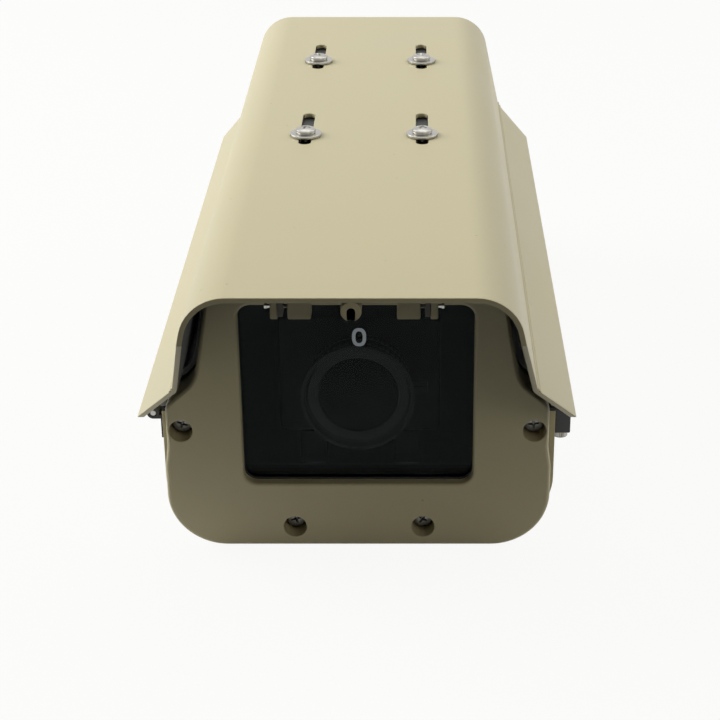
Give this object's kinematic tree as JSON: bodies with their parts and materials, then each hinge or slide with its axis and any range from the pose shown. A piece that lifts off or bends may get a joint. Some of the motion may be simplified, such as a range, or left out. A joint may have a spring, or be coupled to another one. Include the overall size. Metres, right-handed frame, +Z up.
{
  "type": "security camera housing",
  "caption": "Outdoor camera housing: trough with a hinged lid, glazed front plate, sliding flared sunshield and a camera on a sliding tray.",
  "frame": {"origin": "middle of the four mounting holes, on the underside of the trough", "axes": "+Z up, -Y out through the front window, +X to the right of someone looking at the window"},
  "size_m": [0.1465, 0.333, 0.1148],
  "materials": {
    "beige_powder_coat": "satin powder coat",
    "black_paint": "matt black paint",
    "grey_primer": "matt grey primer",
    "stainless_steel": "plain stainless steel",
    "blackened_steel": "black oxide",
    "black_rubber": "matt rubber",
    "grey_rubber": "matt grey rubber",
    "black_nylon": "moulded nylon",
    "bare_aluminium": "mill finish",
    "window_glass": "clear float glass",
    "coated_lens_glass": "coated optical glass",
    "cream_plastic": "moulded plastic"
  },
  "bodies": {
    "housing": {"base_trough": "beige_powder_coat", "front_plate": "beige_powder_coat", "front_plate_gasket": "black_rubber", "front_plate_screws": "blackened_steel", "rear_plate": "beige_powder_coat", "rear_plate_gasket": "black_rubber", "rear_plate_screws": "blackened_steel", "window_glass": "window_glass", "window_gasket": "black_rubber", "window_retainer": "grey_primer", "window_retainer_screws": "stainless_steel", "gland_left_body": "black_nylon", "gland_left_cap": "black_nylon", "gland_left_seal": "black_rubber", "gland_left_locknut": "black_nylon", "gland_right_body": "black_nylon", "gland_right_cap": "black_nylon", "gland_right_seal": "black_rubber", "gland_right_locknut": "black_nylon", "lid_gasket": "black_rubber", "hinge_front_base_leaf": "black_paint", "hinge_rear_base_leaf": "black_paint", "hinge_front_pin": "stainless_steel", "hinge_rear_pin": "stainless_steel", "base_hinge_rivets": "stainless_steel", "base_lug_front": "black_paint", "base_lug_rear": "black_paint", "lid_screws": "stainless_steel", "terminal_block": "cream_plastic"},
    "lid": {"lid": "grey_primer", "hinge_front_lid_leaf": "black_paint", "hinge_rear_lid_leaf": "black_paint", "lid_hinge_rivets": "stainless_steel", "lid_lug_front": "black_paint", "lid_lug_rear": "black_paint", "shield_rail_left": "bare_aluminium", "shield_rail_right": "bare_aluminium", "slide_strip_left": "black_nylon", "slide_strip_right": "black_nylon", "shield_screws": "stainless_steel", "shield_washers": "stainless_steel"},
    "sunshield": {"sunshield": "beige_powder_coat", "stop_bracket_left": "beige_powder_coat", "stop_bracket_right": "beige_powder_coat", "stop_buffer_left": "grey_rubber", "stop_buffer_right": "grey_rubber", "stop_screws": "stainless_steel"},
    "tray": {"camera_tray": "bare_aluminium", "camera_riser": "black_paint", "camera_body": "black_paint", "camera_screw": "stainless_steel", "lens_mount": "black_paint", "lens_barrel": "black_nylon", "front_element": "coated_lens_glass"},
    "focus_ring": {"focus_ring": "black_nylon", "focus_lock_screw": "blackened_steel"},
    "zoom_ring": {"zoom_ring": "black_nylon", "zoom_lock_screw": "blackened_steel"}
  },
  "joints": [
    {"name": "lid_hinge", "type": "hinge", "parent": "housing", "child": "lid", "pos_m": [-0.0712, 0, 0.043], "axis": [0, -1, 0], "range_deg": [0, 100]},
    {"name": "shield_slide", "type": "slide", "parent": "lid", "child": "sunshield", "axis": [0, 1, 0], "range_m": [-0.025, 0.008]},
    {"name": "tray_slide", "type": "slide", "parent": "housing", "child": "tray", "axis": [0, 1, 0], "range_m": [0, 0.04]},
    {"name": "focus_turn", "type": "hinge", "parent": "tray", "child": "focus_ring", "pos_m": [0, -0.1149, 0.0522], "axis": [0, 1, 0], "range_deg": [0, 110]},
    {"name": "zoom_turn", "type": "hinge", "parent": "tray", "child": "zoom_ring", "pos_m": [0, -0.1194, 0.0522], "axis": [0, 1, 0], "range_deg": [0, 60]}
  ]
}
